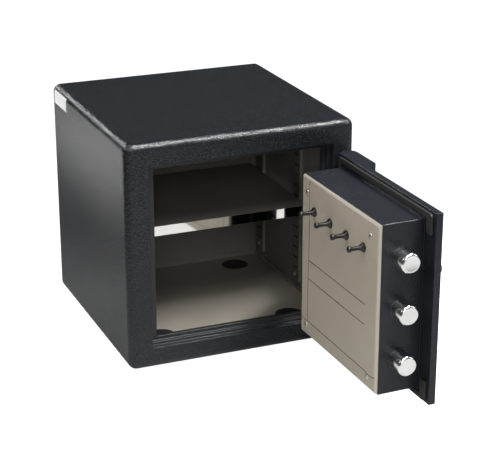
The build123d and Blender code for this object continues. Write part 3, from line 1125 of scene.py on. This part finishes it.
@dataclass
class Racking:
    """The shelf, its bright front strip and what carries it."""

    flange_area: float = 60.0 * MM * MM
    flange_facing: float = 0.6
    upright_easing: float = 0.3
    # Black strips that paint the shade inside the upright channels: their size, edge radius and inset.
    shade_strip_size: tuple = (24.0, 262.0, 0.6)
    shade_strip_radius: float = 0.2
    shade_strip_depth: float = 2.4
    screw_radius: float = 3.6
    screw_steps: int = 24
    screw_profile: Profile = (
        (0, 0), (3.4, 0), (3.6, 0.3), (3.5, 0.9), (2.9, 1.5), (1.9, 1.75), (1.4, 1.7), (1.1, 1.1), (0, 1.0),
    )

    def upright(self, node: str) -> None:
        """A slotted upright whose front- and rear-facing flanges take the paler tray finish: painted light,
        for the front lights falling on them.

        Args:
            node: The model node it stands for.
        """
        name = f"{node}_eased"
        copy = MeshShop.copy_of(node, name, joined=False)
        mesh = MeshShop.eased(copy, name, self.upright_easing * MM)
        add_piece(mesh, name, Body.CABINET, Slot.UPRIGHT, node)
        # Flanges painted paler than the web: painted light.
        repaint(mesh, Extra.TRAY, self.is_flange)

    def is_flange(self, face: Face) -> bool:
        """Whether a face of an upright is one of its flanges."""
        return abs(face.normal.y) > self.flange_facing and face.area > self.flange_area

    def slot_backings(self) -> None:
        """Matt black strips in the channels, behind the slots, as painted shade for the dark hollow of each
        channel.
        """
        wide, tall, thin = self.shade_strip_size
        half = Vector((thin, wide, tall)) * MM / 2
        strip = MeshShop.from_bmesh("strip", MeshShop.box(-half, half, self.shade_strip_radius * MM, 1))
        places = []
        for side, sign in (("left", 1), ("right", -1)):
            for depth in ("front", "rear"):
                low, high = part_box(f"upright_{side}_{depth}")
                x = (high.x if sign > 0 else low.x) - sign * self.shade_strip_depth * MM
                places.append((x, (low.y + high.y) / 2, (low.z + high.z) / 2))
        mesh = NodeTreeShop.repeat(strip, places, finish_for(Extra.MATT_BLACK), "slot_backings")
        add_piece(mesh, "slot_backings", Body.CABINET, Slot.PLASTIC)
        mesh.materials[0] = finish_for(Extra.MATT_BLACK)

    def screws(self) -> None:
        """Round-headed screws at the ends of the uprights."""
        low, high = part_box("upright_screws")
        for side, turn, name in ((-1, 1, "left"), (1, -1, "right")):
            head = MeshShop.turned(self.screw_profile, f"screw_{name}", self.screw_steps)
            head.transform(Matrix.Rotation(turn * math.pi / 2, 4, "Y"))
            x = low.x if side < 0 else high.x
            inset = self.screw_radius * MM
            depths, levels = (low.y + inset, high.y - inset), (low.z + inset, high.z - inset)
            places = [(x, y, z) for y in depths for z in levels]
            mesh = NodeTreeShop.repeat(head, places, finish_for(Slot.ZINC), f"rack_screws_{name}")
            nodes = ("upright_screws",) if side < 0 else ()
            add_piece(mesh, f"rack_screws_{name}", Body.CABINET, Slot.ZINC, *nodes)

    def build(self) -> None:
        """Build the racking."""
        for side in ("left", "right"):
            for depth in ("front", "rear"):
                self.upright(f"upright_{side}_{depth}")
        # Painted shade in the upright channels.
        self.slot_backings()
        self.screws()
        soften("shelf_clips", Body.CABINET, Slot.ZINC, 0.3)
        soften("shelf", Body.SHELF, Slot.SHELF, 0.5)
        soften("shelf_trim", Body.SHELF, Slot.POLISHED, 0.3)


@dataclass
class DoorSet:
    """The door and everything fixed to it."""

    space: DoorSpace
    eased_parts: tuple = (
        ("door_plate", Slot.DOOR, 0.6, 2), ("step_plate", Slot.DOOR, 0.5, 2),
        ("door_case", Slot.DOOR, 0.6, 3), ("door_seal", Slot.SEAL, 0.9, 3),
        ("dog_bar", Slot.DOOR, 0.8, 2), ("inner_panel", Slot.PANEL, 0.3, 2),
        # The bolt bushes are black plastic, and their black also stands for the shadow ring round each
        # bolt's root: painted shade.
        ("bolt_bushes", Slot.PLASTIC, 0.2, 2), ("handle_rose", Slot.PLASTIC, 0.4, 2),
        ("key_escutcheon", Slot.PLASTIC, 0.4, 2), ("hinge_strap_upper", Slot.DOOR, 0.9, 3),
        ("hinge_strap_lower", Slot.DOOR, 0.9, 3),
    )
    hook_us: tuple = (62.5, 114.4, 166.3, 218.2)
    hook_z: float = 257.0
    panel_face: float = 79.5
    hook_steps: int = 36
    hook_profile: Profile = (
        (0, 0), (6.7, 0), (7.0, 0.3), (7.0, 2.2), (6.4, 3.0), (4.8, 3.8), (4.2, 4.6), (3.9, 6.6),
        (3.5, 7.6), (3.2, 8.6), (3.1, 14.0), (3.1, 18.6), (3.4, 19.6), (4.1, 20.6), (4.5, 21.8),
        (4.5, 23.2), (4.1, 24.3), (3.1, 24.9), (0, 25.0),
    )
    screw_us: tuple = (37.5, 238.5)
    screw_zs: tuple = (68.0, 280.5)
    screw_steps: int = 28
    screw_profile: Profile = (
        (0, 0), (4.0, 0), (4.4, 0.25), (4.3, 0.8), (3.7, 1.35), (2.5, 1.75), (0, 1.85),
    )
    recess_size: tuple = (4.4, 0.95)
    recess_levels: tuple = (0.9, 3.0)
    top_facing: float = 0.5
    seam_radius: float = 0.55
    seam_sunk: float = 0.1
    seam_paths: tuple = (
        (
            (46.5, 300.6), (45.0, 297.0), (42.6, 292.0), (42.2, 287.0), (43.4, 280.0), (44.6, 272.0),
            (44.8, 220.0), (44.6, 176.0), (42.6, 146.0), (42.4, 110.0), (43.3, 75.2),
        ),
        (
            (19.4, 75.2), (43.3, 75.2), (140.0, 74.8), (232.0, 74.4), (239.0, 73.2), (246.0, 72.8),
            (253.0, 73.6), (260.6, 75.4),
        ),
        ((44.6, 174.5), (226.0, 174.2)),
        ((42.5, 144.6), (225.0, 143.6)),
    )

    def hooks(self) -> None:
        """Turned pegs for keys."""
        peg = MeshShop.turned(self.hook_profile, "peg", self.hook_steps)
        peg.transform(self.space.facing("X"))
        places = [self.space.at(u, self.panel_face, self.hook_z) for u in self.hook_us]
        mesh = NodeTreeShop.repeat(peg, places, finish_for(Slot.PLASTIC), "key_pegs")
        add_piece(mesh, "key_pegs", Body.DOOR, Slot.PLASTIC, "key_hooks")

    def panel_screws(self) -> None:
        """Domed cross-recess screws at the panel's corners."""
        head = MeshShop.turned(self.screw_profile, "dome", self.screw_steps)
        foot, top = (Vector((0, 0, level)) * MM for level in self.recess_levels)
        recess = []
        for wide, tall in (self.recess_size, self.recess_size[::-1]):
            half = Vector((wide / 2, tall / 2, 0)) * MM
            recess.append(MeshShop.from_bmesh("cross", MeshShop.box(foot - half, top + half)))
        head = MeshShop.carve(head, recess, "dome")
        MeshShop.smooth(head)
        head.transform(self.space.facing("X"))
        places = [self.space.at(u, self.panel_face, z) for u in self.screw_us for z in self.screw_zs]
        mesh = NodeTreeShop.repeat(head, places, finish_for(Slot.ZINC), "dome_screws")
        add_piece(mesh, "dome_screws", Body.DOOR, Slot.ZINC, "panel_screws")

    def seams(self) -> None:
        """Fine brown joint lines across the inner panel."""
        depth = self.panel_face - self.seam_sunk
        lines = [[self.space.at(u, depth, z) for u, z in path] for path in self.seam_paths]
        mesh = NodeTreeShop.bead(lines, self.seam_radius * MM, finish_for(Extra.SEAM), "panel_seams")
        add_piece(mesh, "panel_seams", Body.DOOR, Slot.SEAL)
        mesh.materials[0] = finish_for(Extra.SEAM)

    def build(self) -> None:
        """Build the door."""
        made = {row[0]: soften(row[0], Body.DOOR, *row[1:]).data for row in self.eased_parts}
        # The panel's upward faces take the darker tray finish: painted shade that keeps the top edge dark
        # under the top lights.
        repaint(made["inner_panel"], Extra.TRAY, lambda face: face.normal.z > self.top_facing)
        for node, slot in (("door_fill", Slot.BARRIER), ("hard_plate", Slot.TOOL), ("lock_case", Slot.ZINC)):
            dress_node(node, slot)
        self.hooks()
        self.panel_screws()
        self.seams()


@dataclass
class Boltwork:
    """The round bolts, the bar that carries them, the handle's works and the lock bolt."""

    space: DoorSpace
    bolt_n: float = 44.0
    bolt_zs: tuple = (100.0, 176.5, 253.0)
    bolt_tail: float = 206.0
    bolt_length: float = 86.0
    bolt_steps: int = 72
    tail_profile: Profile = ((0, 0), (14.4, 0), (15.0, 0.6))
    nose_profile: Profile = (
        (15.0, -2.6), (14.9, -2.2), (12.9, -0.25), (12.5, -0.05), (12.0, 0), (10.5, -0.12),
        (8.0, -0.27), (5.0, -0.38), (2.0, -0.44), (0, -0.45),
    )

    def bolts(self) -> None:
        """Turned bolts with a bevelled nose and a slightly dished face."""
        nose = tuple((radius, self.bolt_length + drop) for radius, drop in self.nose_profile)
        bolt = MeshShop.turned(self.tail_profile + nose, "bolt", self.bolt_steps)
        bolt.transform(self.space.facing("Y"))
        for level, z in zip(("lower", "middle", "upper"), self.bolt_zs):
            places = [self.space.at(self.bolt_tail, self.bolt_n, z)]
            name = f"round_bolt_{level}"
            mesh = NodeTreeShop.repeat(bolt.copy(), places, finish_for(Slot.CHROME), name)
            add_piece(mesh, name, Body.BOLTWORK, Slot.CHROME, f"locking_bolt_{level}")

    def build(self) -> None:
        """Build the boltwork, the handle and the lock."""
        self.bolts()
        soften("carrier_bar", Body.BOLTWORK, Slot.ZINC, 0.4)
        soften("handle", Body.HANDLE, Slot.PLASTIC, 0.4)
        for node in ("handle_spindle", "handle_cam", "lock_bolt"):
            dress_node(node, Slot.ZINC)
        soften("key_cover", Body.KEY_COVER, Slot.CHROME, 0.3)


@dataclass(frozen=True)
class Softbox:
    """A rectangular soft light, with its power in watts."""

    name: str
    place: tuple
    aim: tuple
    size: tuple
    power: float

    def hang(self) -> None:
        """Add the light to the scene."""
        data = bpy.data.lights.new(self.name, "AREA")
        data.shape = "RECTANGLE"
        data.size, data.size_y = self.size
        data.energy = self.power
        lamp = new_object(self.name, data)
        lamp.visible_camera = False
        point(lamp, Vector(self.place), Vector(self.aim) - Vector(self.place))


LIGHTS = (
    Softbox("front_high", (-0.5, -1.9, 2.7), (0.0, -0.1, 0.1), (1.4, 1.0), 36.0),
    Softbox("front_fill", (-0.9, -3.2, 1.5), (0.0, -0.1, 0.15), (1.4, 1.0), 26.0),
    Softbox("left_box", (-2.2, -0.3, 1.8), (0.0, -0.1, 0.2), (1.2, 1.0), 23.0),
    Softbox("top_strip", (0.95, -1.05, 2.7), (0.1, -0.2, 0.3), (2.0, 0.12), 165.0),
    Softbox("right_box", (2.4, -1.2, 1.6), (0.2, -0.3, 0.2), (1.0, 1.4), 10.0),
    Softbox("rear_box", (-1.05, 2.2, 1.3), (-0.1, 0.0, 0.3), (1.0, 0.3), 20.0),
    Softbox("side_card", (-0.35, 0.34, 0.2), (-0.185, 0.34, 0.2), (0.55, 0.13), 0.6),
)


@dataclass
class Studio:
    """Camera, lights and floor."""

    azimuth: float = 22.65
    elevation: float = 20.61
    distance: float = 2.58
    aim: Vector = field(default_factory=lambda: Vector((0.0837, -0.0163, 0.1244)))
    lens: float = 112.6
    sensor_width: float = 36.0
    view_reach: float = 50.0
    floor_radius: float = 9.0
    floor_steps: int = 64
    floor_gap: float = 0.0002
    floor_glow: float = 1.0
    # Colours of the painted pool of light round the safe and of the painted dark floor beyond it.
    painted_pool_light: tuple = (0.40, 0.40, 0.40)
    painted_pool_dark: tuple = (0.08, 0.08, 0.08)
    floor_rough: tuple = (0.76, 0.84)
    floor_smudge: float = 0.4
    pool_centre: tuple = (0.1, -0.5, 0.0)
    pool_inner: float = 0.72
    pool_outer: float = 0.98
    room_seen: tuple = (1.0, 1.0, 1.0, 1.0)
    room_light: tuple = (0.06, 0.063, 0.066, 1.0)

    def camera(self) -> None:
        """Place the camera."""
        data = bpy.data.cameras.new("view")
        data.lens, data.sensor_width, data.clip_end = self.lens, self.sensor_width, self.view_reach
        az, el = math.radians(self.azimuth), math.radians(self.elevation)
        ahead = Vector((math.sin(az) * math.cos(el), math.cos(az) * math.cos(el), -math.sin(el)))
        camera = new_object("view", data)
        point(camera, self.aim - ahead * self.distance, ahead)
        bpy.context.scene.camera = camera

    def floor_material(self) -> Material:
        """A matt floor with a painted pool of light round the safe and painted dark beyond it, seen only in
        reflections and bounce light; the camera sees it as plain white.

        Returns:
            The material.
        """
        bench = MaterialBench("pale_floor")
        # Painted pool of light: paler within pool_inner of the pool's centre, fading to painted dark by
        # pool_outer.
        away = bench.add("ShaderNodeVectorMath", {0: bench.place}, operation="DISTANCE")
        away.inputs[1].default_value = self.pool_centre
        reach = {"From_Min": self.pool_inner, "From_Max": self.pool_outer}
        fade = bench.add("ShaderNodeMapRange", {"Value": away.outputs["Value"]}, **reach)
        pale = bench.blend_colour(fade.outputs["Result"], self.painted_pool_light, self.painted_pool_dark)
        rough = bench.range(bench.smudge(self.floor_smudge), *self.floor_rough)
        bench.link(pale, bench.bsdf.inputs["Base Color"])
        bench.link(rough, bench.bsdf.inputs["Roughness"])
        bench.set(Specular_IOR_Level=0.1)

        glow = bench.node("ShaderNodeEmission", Strength=self.floor_glow)
        seen = bench.node("ShaderNodeLightPath")
        plain, camera = bench.bsdf.outputs["BSDF"], seen.outputs["Is Camera Ray"]
        both = bench.add("ShaderNodeAddShader", {0: plain, 1: glow.outputs["Emission"]})
        lift = bench.add("ShaderNodeMixShader", {0: camera, 1: plain, 2: both.outputs["Shader"]})
        bench.link(lift.outputs["Shader"], bench.tree.nodes["Material Output"].inputs["Surface"])
        return bench.material

    def floor(self) -> None:
        """A plain pale floor, wide enough for every view."""
        bm = bmesh.new()
        bmesh.ops.create_circle(bm, cap_ends=True, radius=self.floor_radius, segments=self.floor_steps)
        mesh = MeshShop.from_bmesh("floor", bm)
        mesh.materials.append(self.floor_material())
        floor = new_object("floor", mesh)
        floor.location.z = MODEL_BOX[0].z - self.floor_gap

    def world(self) -> None:
        """Surroundings that are white to the camera and dim in reflections."""
        world = bpy.data.worlds.new("studio")
        bpy.context.scene.world = world
        world.use_nodes = True
        bench = NodeBench()
        bench.tree = world.node_tree
        back = bench.tree.nodes["Background"]
        back.inputs["Color"].default_value = self.room_seen
        dim = bench.node("ShaderNodeBackground", Color=self.room_light)
        camera = bench.node("ShaderNodeLightPath").outputs["Is Camera Ray"]
        feeds = {0: camera, 1: dim.outputs["Background"], 2: back.outputs["Background"]}
        mix = bench.add("ShaderNodeMixShader", feeds)
        bench.link(mix.outputs["Shader"], bench.tree.nodes["World Output"].inputs["Surface"])
        bpy.context.scene.view_settings.view_transform = "Standard"

    def build(self) -> None:
        """Set up the studio."""
        self.camera()
        self.floor()
        self.world()
        for light in LIGHTS:
            light.hang()


def main() -> None:
    """Build the safe and its studio."""
    logging.basicConfig(level=logging.INFO, format="%(message)s")
    Studio().build()
    space = DoorSpace()
    for part in (Cabinet(), Racking(), DoorSet(space), Boltwork(space)):
        part.build()
        log.info("%s done", type(part).__name__)


if __name__ == "__main__":
    main()
